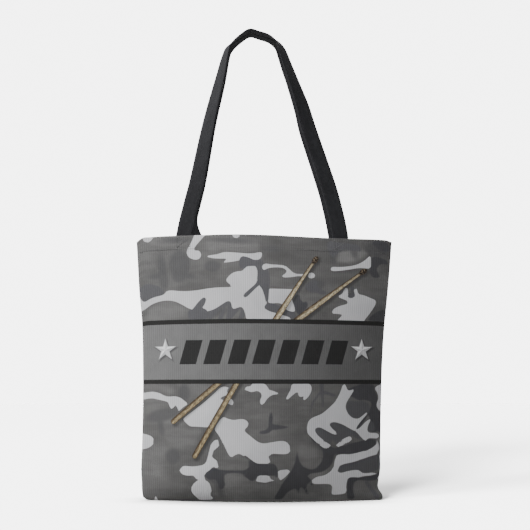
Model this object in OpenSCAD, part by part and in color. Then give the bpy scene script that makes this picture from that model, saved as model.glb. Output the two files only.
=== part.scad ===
/* [Bag] */
// Width of the bag laid flat
flat_w = 406.4; // [404:0.1:412]
// Height of the mouth's middle above the base
bag_h = 412; // [380:440]
// Width of the filled bag across its lower half
belly_w = 372; // [360:380]
// Width across the two side seams at the mouth
mouth_w = 401.4; // [396:403]
// How far the mouth drops from its middle to each side seam
corner_drop = 6; // [0:12]
// Height at which the bag reaches its full depth
belly_h = 95; // [60:140]
// Depth of the flat base as a share of the full depth
base_share = 0.32; // [0.2:0.01:0.5]

/* [Cloth] */
// Thickness of the printed cloth
cloth_t = 1; // [0.8:0.1:1.4]
// Height of the turned-in hem
hem_h = 25; // [18:32]
// Width of the overlocked seam allowance
allowance_w = 9; // [7:12]
// Thickness of a bead of thread
thread_t = 0.6; // [0.4:0.1:0.8]

/* [Handles] */
// Width of the webbing
webbing_w = 25.4; // [20:0.1:28]
// Thickness of the webbing
webbing_t = 1.6; // [1.2:0.1:2]
// Middle of the front handle's left end, left of the bag's middle
left_end_x = 126; // [115:0.5:128]
// Middle of the front handle's right end, right of the bag's middle
right_end_x = 120; // [115:0.5:128]
// Height of the top of the handles above the mouth
handle_rise = 328.8; // [280:0.1:360]
// How much nearer the middle the back handle's left end is sewn
back_left_inset = 16; // [0:0.5:18]
// How much nearer the middle the back handle's right end is sewn
back_right_inset = 4.5; // [0:0.5:18]
// Depth of a handle's crown in front of or behind the middle plane
crown_y = 12.95; // [12.95:0.05:18]

/* [Hidden] */

// Columns across a panel
columns = 28;
// Clearance between two layers that lie on each other
layer_gap = 0.15;
// Height at which a handle's free loop starts, above the mouth
loop_gap = 0.2;
// Distance of the hem stitching above the hem's lower edge
stitch_inset = 3;
// Height of a handle's sewn end
end_h = 22;
// Depth of a handle's sewn end below the mouth
end_drop = 1;
// Margin of the box stitching inside the webbing's edges
box_margin = 2.2;
// Heights over which the back handle's legs come into line with the front's
left_merge_h = 36;
right_merge_h = 400;
// Stations along a handle
stations = 96;

belly_half_w = belly_w / 2;
mouth_half_w = mouth_w / 2;
hem_foot = bag_h - hem_h;
foot_top = 1.4 * cloth_t;
cloth_color = [0.46, 0.46, 0.45];
webbing_color = [0.13, 0.13, 0.15];
thread_color = [0.22, 0.22, 0.22];

// ---- the shape of the filled bag ----

// Half the bag's width at height z: straight below, opening towards the mouth
function half_w(z) =
    belly_half_w + (mouth_half_w - belly_half_w) * pow(max(z, 0) / bag_h, 2.5);

// Depth of a shallow arc of the flat width over the chord 2 * hw
function arc_depth(hw) = 2 * hw * sqrt(3 / 8 * (flat_w / (2 * hw) - 1));

// Share of the full depth at height z: the underside rolls up to the belly
function fill_share(z) =
    z >= belly_h
        ? 1
        : base_share + (1 - base_share) * sqrt(1 - pow(1 - max(z, 0) / belly_h, 2));

function depth(z) = arc_depth(half_w(z)) * fill_share(z);

// Real height of nominal height z at the share s of the half width
function drooped(z, s) = z * (1 - corner_drop / bag_h * pow(abs(s), 4));

// Point of a panel's outside, raised by off, at the share s and height z
function outside(s, z, off = 0) =
    [half_w(z) * s, -(depth(z) * (1 - s * s) + cloth_t + off), drooped(z, s)];

// Point of a panel's inside, where the cloth is layers deep
function inside(s, z, layers, off = 0) =
    let (
        hw = half_w(z) - 1.2 * cloth_t,
        d = depth(z) - (layers - 1) * cloth_t
    )
    [hw * s, -max(d * (1 - s * s) - off, 0), drooped(z, s)];

// ---- meshes ----

// Triangles of the walls of a tube: rows of m points, each row a closed loop
function tube_walls(rows, m) = [
    for (j = [0 : rows - 2], i = [0 : m - 1])
        let (a = j * m + i, b = j * m + (i + 1) % m)
            each [[a, a + m, b + m], [a, b + m, b]]
];

// Triangles that close a tube of four-cornered rows at its two ends
function quad_ends(rows) =
    let (e = 4 * (rows - 1))
    [[0, 1, 2], [0, 2, 3], [e, e + 2, e + 1], [e, e + 3, e + 2]];

// Solid bar swept through rows of four corners
module bar(rows) {
    polyhedron(
        points = [for (row = rows) each row],
        faces = concat(tube_walls(len(rows), 4), quad_ends(len(rows)))
    );
}

// ---- panels ----

// Heights of the panel's rows, with the number of cloth layers in each
panel_rows = concat(
    [[0, 0], [cloth_t, 0], [foot_top, 1]],
    [for (k = [1 : 9]) [foot_top + (belly_h - foot_top) * pow(k / 9, 2), 1]],
    [for (k = [1 : 9]) [belly_h + (hem_foot - belly_h) * k / 9, 1]],
    [for (k = [0 : 2]) [hem_foot + 0.2 + (hem_h - 0.2) * k / 2, 2]]
);

// Closed loop of one panel row: outside, right edge, inside, left edge
function panel_loop(z, layers) =
    let (share = [for (i = [0 : columns]) 2 * i / columns - 1])
    concat(
        [for (s = share) outside(s, z)],
        [[half_w(z), 0, drooped(z, 1)]],
        [for (s = share)
            layers == 0
                ? [-(half_w(z) - 1.2 * cloth_t) * s, 0, drooped(z, s)]
                : inside(-s, z, layers)],
        [[-half_w(z), 0, drooped(z, -1)]]
    );

// Triangles that close a panel's first or last row, flip is true below
function panel_cap(start, flip) =
    let (
        n = columns,
        strip = [for (i = [0 : n - 1])
            let (o = start + i, q = start + 2 * n + 2 - i)
                each [[o, q, q - 1], [o, q - 1, o + 1]]],
        ends = [
            [start + n, start + n + 2, start + n + 1],
            [start + 2 * n + 2, start, start + 2 * n + 3]
        ]
    )
    [for (f = concat(strip, ends)) flip ? [f[0], f[2], f[1]] : f];

module panel() {
    m = 2 * columns + 4;
    rows = len(panel_rows);
    color(cloth_color)
        polyhedron(
            points = [for (r = panel_rows) each panel_loop(r[0], r[1])],
            faces = concat(
                tube_walls(rows, m),
                panel_cap(0, true),
                panel_cap((rows - 1) * m, false)
            )
        );
}

module front_panel() {
    panel();
}

module back_panel() {
    mirror([0, 1, 0]) panel();
}

// ---- seam allowances bound with overlock thread, inside the bag ----

// Distance from the side seam at which both panels clear the bound edge
function seam_start(z) =
    let (layers = z > hem_foot ? 2 : 1)
    1.2 * cloth_t + (cloth_t + layer_gap) * half_w(z) / (2 * (depth(z) - (layers - 1) * cloth_t)) + 0.4;

module side_seam() {
    rows = 24;
    low = allowance_w + 4;
    high = bag_h - 1;
    color(thread_color)
        bar([for (k = [0 : rows])
            let (
                z = low + (high - low) * k / rows,
                x0 = half_w(z) - seam_start(z),
                x1 = x0 - allowance_w,
                zz = drooped(z, 1)
            )
            [[x1, -cloth_t, zz], [x0, -cloth_t, zz], [x0, cloth_t, zz], [x1, cloth_t, zz]]]);
}

module left_side_seam() {
    mirror([1, 0, 0]) side_seam();
}

module right_side_seam() {
    side_seam();
}

module bottom_seam() {
    seam_w = belly_w - 4 * allowance_w;
    foot = foot_top + 0.05;
    color(thread_color)
        translate([-seam_w / 2, -cloth_t, foot])
            cube([seam_w, 2 * cloth_t, allowance_w]);
}

// ---- handles ----

// Route of a handle's middle line: x, height above its ends, and the angle
// by which the webbing is turned out of the bag's plane
handle_route = [
    [-left_end_x, 0, 9],
    [-122.4, 18, 10],
    [-114.4, 51, 12],
    [-105.6, 87, 18],
    [-87, 184, 41],
    [-70, 253.5, 54],
    [-59, 299.5, 70],
    [-52, 309, 79],
    [-38.5, 320, 86],
    [-23, handle_rise, 90],
    [-7.5, 325.2, 89],
    [9, 320.2, 85],
    [21, 312, 75],
    [28.3, 299.5, 62],
    [36.6, 276.5, 55],
    [45.1, 253.5, 51],
    [61, 207.5, 34],
    [70.3, 173, 20],
    [89.3, 115.5, 15],
    [104, 70, 12],
    [114.8, 27, 10],
    [right_end_x, 0, 9]
];
route_last = len(handle_route) - 1;

// Running chord length up to each point of the route
function chord_at(k) =
    k == 0
        ? 0
        : let (a = handle_route[k - 1], b = handle_route[k])
            chord_at(k - 1) + norm([b[0] - a[0], b[1] - a[1]]);
route_at = [for (k = [0 : route_last]) chord_at(k)];
route_len = route_at[route_last];

// Direction of the route at point k
function route_dir(k) =
    let (a = max(k - 1, 0), b = min(k + 1, route_last))
    (handle_route[b] - handle_route[a]) / (route_at[b] - route_at[a]);

// Stretch of the route that holds distance d
function stretch_of(d, k = 0) =
    k >= route_last - 1 || d < route_at[k + 1] ? k : stretch_of(d, k + 1);

// Smooth curve through the route's points
function route(d) =
    let (
        k = stretch_of(d),
        h = route_at[k + 1] - route_at[k],
        t = (d - route_at[k]) / h
    )
    (2 * t * t * t - 3 * t * t + 1) * handle_route[k]
    + (t * t * t - 2 * t * t + t) * h * route_dir(k)
    + (3 * t * t - 2 * t * t * t) * handle_route[k + 1]
    + (t * t * t - t * t) * h * route_dir(k + 1);

// Depth of the middle of the webbing where its end is sewn on at x
function end_depth(x) =
    -inside(x / mouth_half_w, bag_h, 2, layer_gap + webbing_t / 2)[1];

// Height at which a free loop starts
loop_z = bag_h + loop_gap;
// Distance along the route of its highest point
crown_d = route_at[9];

// Four corners of a handle's section at distance d;
// insets move the left and the right end towards the middle
function handle_section(d, insets) =
    let (
        p = route(d),
        step = 1,
        a = route(max(d - step, 0)),
        b = route(min(d + step, route_len)),
        run = [b[0] - a[0], b[1] - a[1]],
        tangent = run / norm(run),
        is_left = d < crown_d,
        reach = is_left ? d / crown_d : (route_len - d) / (route_len - crown_d),
        // a leg that leans is cut level at its ends
        square = min(min(d, route_len - d) / webbing_w, 1),
        // sideways direction in the bag's plane, away from the loop's inside
        slanted = square * [-tangent[1], 0, tangent[0]]
            + (1 - square) * [is_left ? -1 : 1, 0, 0],
        away = slanted / norm(slanted),
        width = cos(p[2]) * away + [0, sin(p[2]), 0],
        along = [tangent[0], 0, tangent[1]],
        normal = cross(width, along),
        shift = is_left ? insets[0] : -insets[1],
        merge_h = is_left ? left_merge_h : right_merge_h,
        merge = pow(max(0, 1 - p[1] / merge_h), 1.5),
        end_y = end_depth((is_left ? -left_end_x : right_end_x) + shift),
        y = -(end_y + (crown_y - end_y) * reach),
        middle = [p[0] + shift * merge, y, loop_z + p[1]],
        w = webbing_w / 2 * width,
        n = webbing_t / 2 * normal
    )
    [middle - w - n, middle - w + n, middle + w + n, middle + w - n];

module handle(insets) {
    color(webbing_color)
        bar([for (k = [0 : stations]) handle_section(route_len * k / stations, insets)]);
}

module front_handle() {
    handle([0, 0]);
}

module back_handle() {
    mirror([0, 1, 0]) handle([back_left_inset, back_right_inset]);
}

// Sewn end of a handle, lying on the inside of the hem with its middle at x
module handle_end(x) {
    rows = 6;
    low = bag_h - end_drop - end_h;
    high = bag_h - end_drop;
    color(webbing_color)
        bar([for (k = [0 : rows])
            let (
                s0 = (x - webbing_w / 2) / mouth_half_w,
                s = s0 + webbing_w / mouth_half_w * k / rows,
                a = inside(s, low, 2, layer_gap),
                b = inside(s, low, 2, layer_gap + webbing_t),
                c = inside(s, high, 2, layer_gap + webbing_t),
                d = inside(s, high, 2, layer_gap)
            )
            [a, b, c, d]]);
}

module front_handle_left_end() {
    handle_end(-left_end_x);
}

module front_handle_right_end() {
    handle_end(right_end_x);
}

module back_handle_left_end() {
    mirror([0, 1, 0]) handle_end(-left_end_x + back_left_inset);
}

module back_handle_right_end() {
    mirror([0, 1, 0]) handle_end(right_end_x - back_right_inset);
}

// ---- stitching ----

// Bead of thread on the outside of a panel, from [x, z] p to q in n steps
module outer_thread(p, q, n) {
    bar([for (k = [0 : n])
        let (
            c = p + (q - p) * k / n,
            dir = (q - p) / norm(q - p),
            e = [-dir[1], dir[0]] * thread_t / 2,
            lo = c - e,
            hi = c + e
        )
        [
            outside(lo[0] / half_w(lo[1]), lo[1], thread_t),
            outside(lo[0] / half_w(lo[1]), lo[1], 0.05),
            outside(hi[0] / half_w(hi[1]), hi[1], 0.05),
            outside(hi[0] / half_w(hi[1]), hi[1], thread_t)
        ]]);
}

module hem_stitching() {
    reach = mouth_half_w - 5;
    z = hem_foot + stitch_inset;
    color(thread_color)
        outer_thread([-reach, z], [reach, z], 2 * columns);
}

module front_hem_stitching() {
    hem_stitching();
}

module back_hem_stitching() {
    mirror([0, 1, 0]) hem_stitching();
}

// Box with a cross inside it, sewn through the hem and the handle's end
module box_stitching(x) {
    half = webbing_w / 2 - box_margin;
    low = bag_h - end_drop - end_h + 2 * box_margin;
    high = bag_h - end_drop - box_margin;
    corners = [[x - half, low], [x + half, low], [x + half, high], [x - half, high]];
    color(thread_color)
        union() {
            for (k = [0 : 3]) outer_thread(corners[k], corners[(k + 1) % 4], 4);
            outer_thread(corners[0], corners[2], 6);
            outer_thread(corners[1], corners[3], 6);
        }
}

module front_handle_left_stitching() {
    box_stitching(-left_end_x);
}

module front_handle_right_stitching() {
    box_stitching(right_end_x);
}

module back_handle_left_stitching() {
    mirror([0, 1, 0]) box_stitching(-left_end_x + back_left_inset);
}

module back_handle_right_stitching() {
    mirror([0, 1, 0]) box_stitching(right_end_x - back_right_inset);
}

front_panel();
back_panel();
left_side_seam();
right_side_seam();
bottom_seam();
front_hem_stitching();
back_hem_stitching();
front_handle();
back_handle();
front_handle_left_end();
front_handle_right_end();
back_handle_left_end();
back_handle_right_end();
front_handle_left_stitching();
front_handle_right_stitching();
back_handle_left_stitching();
back_handle_right_stitching();
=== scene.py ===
import math
import bmesh
import bpy
import numpy as np
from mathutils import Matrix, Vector, noise


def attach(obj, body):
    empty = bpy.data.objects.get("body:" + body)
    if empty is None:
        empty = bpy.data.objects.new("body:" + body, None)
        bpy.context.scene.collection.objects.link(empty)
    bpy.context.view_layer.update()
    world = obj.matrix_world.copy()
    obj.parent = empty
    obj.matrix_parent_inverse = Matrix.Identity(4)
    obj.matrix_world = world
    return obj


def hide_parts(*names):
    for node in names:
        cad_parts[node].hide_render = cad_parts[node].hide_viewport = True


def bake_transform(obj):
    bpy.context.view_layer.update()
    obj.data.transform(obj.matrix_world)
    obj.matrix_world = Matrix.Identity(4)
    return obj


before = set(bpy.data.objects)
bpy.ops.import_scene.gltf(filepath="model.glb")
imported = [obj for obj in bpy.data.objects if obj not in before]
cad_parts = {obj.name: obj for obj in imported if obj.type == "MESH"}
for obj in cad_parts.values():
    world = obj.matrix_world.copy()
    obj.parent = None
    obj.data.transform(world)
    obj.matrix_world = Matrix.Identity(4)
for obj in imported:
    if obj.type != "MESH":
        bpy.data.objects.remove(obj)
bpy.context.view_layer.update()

# ---- Sizes in millimetres, as in the CAD source ----
FLAT_W, BAG_H = 406.4, 412.0
BELLY_W, MOUTH_W = 372.0, 401.4
CORNER_DROP, BELLY_H, BASE_SHARE = 6.0, 95.0, 0.32
HEM_H, ALLOWANCE_W = 25.0, 9.0
WEBBING_W, WEBBING_T = 25.4, 1.6
LEFT_END_X, RIGHT_END_X, HANDLE_RISE = 126.0, 120.0, 328.8
BACK_INSETS, MERGE_H, CROWN_Y = (16.0, 4.5), (36.0, 400.0), 12.95
END_H, END_DROP, LOOP_GAP = 22.0, 1.0, 0.2
STITCH_INSET, BOX_MARGIN = 3.0, 2.2

# ---- Sizes in millimetres that only this model has ----
FLAT_HALF = FLAT_W / 2
SEAM_HALF = 1.0                      # the CAD's cloth thickness, half of a seam of two layers
CLOTH_T, SEAM_T, LOWEST_Y = 0.9, 0.34, 0.16
BASE_Y, BASE_LIFT = 0.9, 0.25
FOLD_R = 1.0
THREAD_R, HEM_PITCH, BOX_PITCH = 0.34, 3.2, 2.6
YARN_R, YARN_PITCH, ALLOWANCE_T = 0.30, 2.4, 0.85


# ---- Shape of the filled bag ----
def curve_through(points, step=0.5):
    """Smooth one-to-one curve through a few (place, value) points, as a lookup function."""
    pts = np.array(points, float)
    k = np.gradient(pts[:, 1], pts[:, 0])
    at = np.arange(pts[0, 0], pts[-1, 0] + step, step)
    i = np.clip(np.searchsorted(pts[:, 0], at, side="right") - 1, 0, len(pts) - 2)
    h = pts[i + 1, 0] - pts[i, 0]
    t = np.clip((at - pts[i, 0]) / h, 0, 1)
    val = ((2 * t**3 - 3 * t**2 + 1) * pts[i, 1] + (t**3 - 2 * t**2 + t) * h * k[i]
           + (3 * t**2 - 2 * t**3) * pts[i + 1, 1] + (t**3 - t**2) * h * k[i + 1])
    return lambda v: np.interp(v, at, val)


def half_w(z):
    return BELLY_W / 2 + (MOUTH_W - BELLY_W) / 2 * (np.maximum(z, 0) / BAG_H) ** 2.5


def full_depth(z):
    """Depth at the middle of an arc that keeps the flat width."""
    hw = half_w(z)
    return 2 * hw * np.sqrt(3 / 8 * (FLAT_W / (2 * hw) - 1))


def fill_share(z):
    low = np.clip(1 - np.maximum(z, 0) / BELLY_H, 0, 1)
    return BASE_SHARE + (1 - BASE_SHARE) * np.sqrt(1 - low**2)


def drooped(z, s):
    return z - CORNER_DROP * np.abs(s) ** 4 * (np.maximum(z, 0) / BAG_H) ** 3


# How far each side edge stands outside its plain line, by height: the left
# corner is puffed out, and the right one is pinched over a small ear
left_swell = curve_through([
    (0, -5), (3, 0.8), (8, 2.8), (14, 3.9), (28, 4.4), (44, 5.6), (70, 4.6), (103, 3.7), (150, 2.4),
    (210, 1.3), (280, 0.6), (332, 2.4), (372, 2), (412, 1)])
right_swell = curve_through([
    (0, -4), (3, -1.4), (7, -1.4), (11, -3.4), (15, -6.4), (19, -8.2), (31, -7.6), (45, -5), (68, -4.6),
    (147, -3.8), (209, -3.2), (272, -1.6), (317, 0.7), (362, 1.8), (412, 1.5)])
# How far the mouth's edge stands above its plain line, by share of the half width
mouth_lift = curve_through([
    (-1, -2.9), (-0.975, 0.8), (-0.95, 3), (-0.9, 2.7), (-0.8, 2), (-0.5, 0.6), (-0.3, 1.1), (0, 0),
    (0.24, -2.2), (0.5, -3.9), (0.75, -3.1), (0.91, -1.3), (0.96, -0.9), (1, -2.8)], 0.005)


def soft_noise(x, z, size, seed):
    """Slow, even noise between about -1 and 1, at points in millimetres."""
    flat = np.stack([x.ravel() / size, z.ravel() / size], 1)
    return np.array([noise.noise((a, b, seed)) for a, b in flat]).reshape(x.shape)


# ---- Printed camouflage ----
# Outlines in millimetres, as (across from the middle, up from the base)
LIGHT = [
    [(-193, 414), (-176, 417), (-174, 410), (-182, 403), (-190, 405)],
    [(-51, 417), (-37, 417), (-38, 408), (-43, 405), (-49, 408)],
    [(176, 34), (179, 38), (192, 40), (192, 20), (184, 22), (180, 28)],
    [(-170, 5), (-168, 7), (-166, 4), (-163, -3), (-168, -3)],
    [(-108, 416), (-90, 417), (-91, 413), (-99, 404), (-105, 397), (-110, 390), (-108, 387), (-102, 387),
     (-99, 384), (-98, 379), (-100, 374), (-106, 372), (-113, 374), (-118, 377), (-121, 383), (-120, 389),
     (-117, 395), (-113, 402)],
    [(-88, 376), (-88, 378), (-83, 379), (-72, 380), (-64, 383), (-52, 383), (-40, 382), (-28, 381),
     (-17, 381), (-4, 384), (-3, 380), (-4, 375), (-8, 371), (-20, 371), (-39, 370), (-48, 368), (-57, 367),
     (-65, 366), (-62, 368), (-58, 372), (-59, 373), (-68, 373), (-80, 374)],
    [(-197, 322), (-192, 312), (-187, 309), (-175, 315), (-165, 317), (-156, 319), (-151, 326), (-125, 323),
     (-105, 324), (-85, 327), (-70, 328), (-47, 328), (-57, 336), (-59, 340), (-50, 350), (-40, 353),
     (-33, 353), (-30, 358), (-26, 361), (-15, 362), (-11, 358), (-10, 350), (-11, 339), (-7, 330),
     (-4, 327), (-2, 323), (2, 311), (4, 303), (2, 294), (10, 290), (19, 288), (29, 285), (39, 282),
     (45, 277), (-27, 277), (-28, 285), (-31, 294), (-35, 298), (-41, 296), (-46, 294), (-49, 296),
     (-50, 303), (-53, 307), (-58, 306), (-67, 300), (-77, 294), (-87, 291), (-100, 292), (-110, 294),
     (-118, 297), (-126, 302), (-138, 308), (-150, 310), (-163, 309), (-176, 305), (-188, 297),
     (-197, 296)],
    [(1, 366), (11, 364), (23, 364), (33, 363), (39, 358), (45, 352), (52, 350), (62, 351), (62, 347),
     (52, 347), (42, 345), (30, 344), (27, 347), (33, 350), (36, 355), (29, 360), (15, 360), (5, 358),
     (0, 354), (-4, 360)],
    [(69, 352), (74, 354), (79, 351), (79, 346), (74, 344), (68, 345)],
    [(7, 324), (8, 326), (10, 326), (44, 326), (46, 325), (42, 311), (46, 301), (48, 291), (42, 290),
     (36, 292), (28, 303), (20, 304), (12, 303), (6, 304), (7, 314)],
    [(-56, 160), (-49, 157), (-46, 152), (-48, 147), (-52, 149), (-58, 152)],
    [(104, 364), (117, 364), (128, 365), (140, 367), (150, 371), (158, 376), (166, 384), (168, 384),
     (168, 366), (166, 363), (149, 364), (135, 361), (119, 358), (104, 357)],
    [(114, 317), (122, 321), (124, 327), (129, 333), (131, 326), (130, 319), (136, 318), (139, 323),
     (142, 331), (145, 330), (147, 321), (156, 320), (166, 316), (175, 313), (176, 308), (171, 299),
     (164, 289), (157, 281), (157, 277), (110, 277), (118, 283), (122, 288), (114, 289), (105, 289),
     (106, 295), (113, 300), (122, 303), (130, 305), (130, 310), (122, 313), (116, 315)],
    [(-194, 165), (-183, 167), (-173, 168), (-163, 166), (-153, 161), (-146, 160), (-137, 161), (-129, 159),
     (-121, 153), (-116, 149), (-125, 144), (-131, 137), (-133, 143), (-136, 148), (-139, 144), (-143, 141),
     (-146, 146), (-148, 152), (-155, 154), (-165, 156), (-175, 158), (-194, 155)],
    [(-125, 126), (-109, 138), (-92, 151), (-76, 165), (-67, 174), (-61, 176), (-53, 174), (-54, 172),
     (-58, 170), (-55, 167), (-56, 163), (-62, 161), (-67, 159), (-67, 157), (-60, 155), (-65, 146),
     (-74, 132), (-82, 116), (-86, 114), (-103, 115), (-113, 115), (-118, 119), (-122, 123)],
    [(-63, 131), (-55, 127), (-45, 125), (-36, 127), (-28, 126), (-23, 121), (-25, 115), (-30, 111),
     (-28, 107), (-19, 100), (-9, 92), (0, 90), (11, 92), (23, 94), (30, 94), (37, 91), (40, 83), (39, 75),
     (30, 74), (13, 75), (2, 76), (-6, 75), (3, 73), (8, 70), (10, 64), (8, 60), (0, 60), (-10, 60),
     (-17, 64), (-23, 69), (-29, 73), (-31, 71), (-34, 74), (-40, 75), (-45, 72), (-49, 69), (-53, 72),
     (-57, 80), (-61, 89), (-67, 100), (-72, 107), (-76, 111)],
    [(-196, 104), (-177, 100), (-172, 96), (-170, 90), (-174, 84), (-181, 80), (-196, 77)],
    [(-76, 94), (-71, 96), (-67, 93), (-67, 88), (-71, 83), (-77, 79), (-79, 73), (-79, 68), (-72, 65),
     (-70, 60), (-69, 52), (-71, 50), (-74, 54), (-78, 55), (-82, 49), (-89, 46), (-92, 39), (-89, 33),
     (-84, 31), (-81, 24), (-80, 16), (-83, 10), (-78, 7), (-78, 3), (-99, 2), (-103, 6), (-110, 13),
     (-112, 19), (-109, 27), (-103, 31), (-97, 33), (-105, 36), (-107, 41), (-117, 40), (-126, 42),
     (-130, 48), (-128, 53), (-122, 55), (-109, 54), (-96, 56), (-89, 58), (-86, 66), (-84, 75), (-82, 83),
     (-80, 91)],
    [(-10, 42), (6, 42), (11, 39), (18, 37), (17, 34), (9, 33), (4, 31), (0, 31), (-14, 33)],
    [(21, 48), (22, 50), (38, 51), (41, 51), (37, 44), (28, 36), (25, 34), (22, 37)],
    [(-30, 171), (-27, 176), (-20, 176), (-18, 181), (0, 181), (6, 175), (7, 171), (15, 169), (22, 166),
     (21, 164), (14, 164), (7, 160), (3, 155), (0, 150), (-4, 148), (-6, 151), (-6, 156), (-3, 161),
     (-4, 166), (-10, 170), (-19, 167), (-26, 170)],
    [(42, 181), (70, 181), (73, 174), (72, 168), (68, 161), (62, 155), (59, 156), (61, 162), (57, 160),
     (53, 161), (51, 169), (46, 165), (40, 160), (36, 156), (33, 157), (36, 163), (41, 172)],
    [(122, 181), (126, 178), (129, 169), (139, 172), (139, 170), (133, 161), (127, 152), (125, 144),
     (129, 134), (137, 127), (146, 126), (154, 132), (160, 137), (161, 134), (154, 127), (146, 118),
     (142, 112), (142, 109), (148, 112), (158, 122), (165, 126), (166, 124), (161, 115), (160, 107),
     (164, 104), (173, 104), (179, 102), (179, 95), (168, 96), (161, 96), (159, 92), (155, 93), (149, 99),
     (143, 106), (133, 111), (121, 118), (109, 122), (101, 121), (100, 117), (105, 111), (111, 106),
     (112, 102), (104, 104), (95, 109), (86, 114), (80, 114), (77, 111), (79, 105), (86, 98), (94, 92),
     (103, 86), (105, 82), (99, 80), (90, 83), (80, 91), (72, 99), (66, 105), (65, 115), (68, 125),
     (76, 130), (88, 134), (99, 143), (109, 152), (117, 166)],
    [(108, 83), (113, 90), (120, 95), (126, 98), (132, 100), (135, 97), (135, 93), (130, 91), (123, 87),
     (116, 85), (110, 82)],
    [(109, 70), (117, 73), (133, 72), (148, 75), (162, 78), (172, 83), (179, 91), (179, 71), (168, 69),
     (154, 65), (137, 60), (123, 58), (115, 55), (112, 50), (113, 45), (119, 44), (129, 47), (142, 48),
     (148, 47), (150, 43), (160, 42), (178, 44), (178, 41), (164, 38), (148, 36), (139, 37), (129, 37),
     (127, 29), (126, 21), (128, 12), (105, 10), (103, 14), (105, 21), (103, 28), (71, 28), (71, 32),
     (78, 39), (93, 41), (102, 47), (107, 54), (108, 63)],
    [(172, 174), (180, 179), (190, 180), (190, 135), (179, 139), (175, 147), (179, 157), (178, 165)],
]
DARK = [
    [(-39, 377), (-39, 370), (-33, 365), (-30, 360), (-26, 361), (-15, 362), (-11, 358), (-10, 350),
     (-11, 339), (-14, 333), (-30, 319), (-31, 315), (-28, 313), (-22, 317), (-8, 330), (-4, 328), (1, 315),
     (4, 303), (6, 304), (8, 325), (10, 338), (8, 352), (4, 358), (-4, 360), (0, 367), (-3, 372),
     (-14, 371), (-24, 374), (-33, 378)],
    [(-96, 312), (-90, 311), (-90, 305), (-97, 297), (-90, 296), (-88, 285), (-88, 277), (-117, 277),
     (-118, 292), (-113, 295), (-108, 297), (-103, 305)],
    [(-87, 290), (-67, 301), (-55, 307), (-50, 303), (-49, 296), (-38, 297), (-31, 294), (-28, 277),
     (-86, 277)],
    [(-197, 334), (-182, 338), (-165, 333), (-157, 326), (-156, 318), (-165, 316), (-178, 313), (-188, 308),
     (-197, 322)],
    [(62, 330), (70, 322), (80, 322), (90, 318), (98, 321), (92, 326), (82, 330), (84, 340), (76, 343),
     (68, 338)],
    [(100, 408), (120, 404), (150, 402), (155, 390), (140, 392), (120, 392), (108, 378), (104, 385),
     (98, 395)],
    [(0, 296), (12, 296), (27, 291), (44, 288), (60, 280), (42, 280), (30, 284), (10, 287), (2, 290)],
    [(77, 108), (80, 113), (86, 114), (95, 110), (104, 104), (111, 102), (102, 92), (100, 85), (90, 93),
     (82, 101)],
    [(100, 118), (103, 122), (110, 122), (121, 118), (133, 111), (143, 106), (149, 99), (154, 93),
     (140, 97), (135, 101), (130, 99), (120, 95), (110, 88), (104, 92), (108, 98), (111, 104), (105, 111)],
    [(130, 155), (142, 153), (155, 154), (165, 147), (165, 136), (155, 131), (145, 127), (135, 129),
     (128, 137), (127, 147)],
    [(112, 48), (115, 55), (123, 58), (137, 60), (154, 65), (168, 69), (182, 71), (182, 47), (160, 43),
     (150, 44), (142, 48), (129, 47), (119, 44)],
    [(160, 107), (160, 115), (166, 124), (172, 118), (174, 106)],
]
DEEP = [
    [(50, 318), (55, 318), (56, 310), (61, 305), (66, 308), (68, 300), (62, 292), (55, 284), (50, 290),
     (45, 300), (45, 310)],
    [(168, 410), (198, 408), (200, 395), (188, 392), (176, 398)],
    [(170, 385), (192, 380), (198, 372), (182, 372), (176, 362), (184, 350), (172, 348), (165, 356),
     (168, 372)],
    [(192, 300), (180, 296), (168, 288), (160, 280), (192, 277)],
    [(9, 138), (12, 137), (14, 128), (12, 119), (22, 118), (34, 116), (38, 115), (33, 113), (20, 111),
     (12, 111), (8, 106), (-2, 104), (-8, 106), (-7, 109), (2, 110), (7, 114), (7, 125)],
    [(-91, 45), (-86, 49), (-79, 53), (-74, 52), (-67, 50), (-50, 49), (-23, 50), (-22, 62), (-28, 70),
     (-31, 75), (-25, 72), (-17, 65), (-10, 60), (0, 59), (18, 60), (20, 52), (22, 46), (20, 36), (17, 41),
     (8, 42), (-10, 41), (-14, 34), (-20, 33), (-28, 40), (-38, 45), (-50, 45), (-60, 42), (-62, 36),
     (-58, 30), (-62, 20), (-68, 20), (-70, 30), (-74, 36), (-84, 34), (-90, 40)],
    [(50, 80), (48, 70), (47, 60), (42, 50), (36, 40), (28, 30), (22, 18), (14, 4), (28, 4), (34, 14),
     (42, 20), (50, 22), (52, 10), (55, 24), (60, 22), (66, 10), (68, 14), (63, 26), (70, 30), (76, 20),
     (74, 32), (68, 38), (64, 44), (90, 46), (105, 58), (106, 70), (112, 82), (125, 84), (150, 80),
     (165, 84), (174, 94), (162, 95), (150, 92), (130, 88), (107, 82), (95, 88), (84, 96), (72, 104),
     (68, 102), (75, 92), (84, 86), (90, 78), (90, 66), (84, 56), (72, 50), (60, 54), (54, 62), (51, 72)],
    [(128, 172), (140, 176), (150, 180), (172, 180), (172, 170), (178, 160), (176, 146), (180, 136),
     (182, 120), (178, 106), (170, 104), (162, 108), (166, 124), (160, 137), (166, 142), (168, 152),
     (155, 156), (148, 154), (136, 160), (132, 162)],
    [(140, 110), (145, 109), (163, 133), (159, 136)],
    [(101, 81), (110, 82), (122, 86), (137, 88), (150, 89), (160, 94), (170, 95), (178, 94), (178, 90),
     (170, 82), (158, 77), (140, 72), (118, 73), (108, 72), (100, 70)],
    [(127, 37), (140, 37), (152, 36), (166, 38), (179, 42), (184, 36), (176, 31), (160, 30), (146, 33),
     (138, 29), (137, 16), (141, 3), (129, 2), (127, 12), (128, 26)],
    [(170, 150), (178, 138), (192, 134), (192, 102), (178, 104), (168, 122), (166, 138)],
    [(179, 96), (192, 98), (192, 42), (180, 44)],
]
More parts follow.
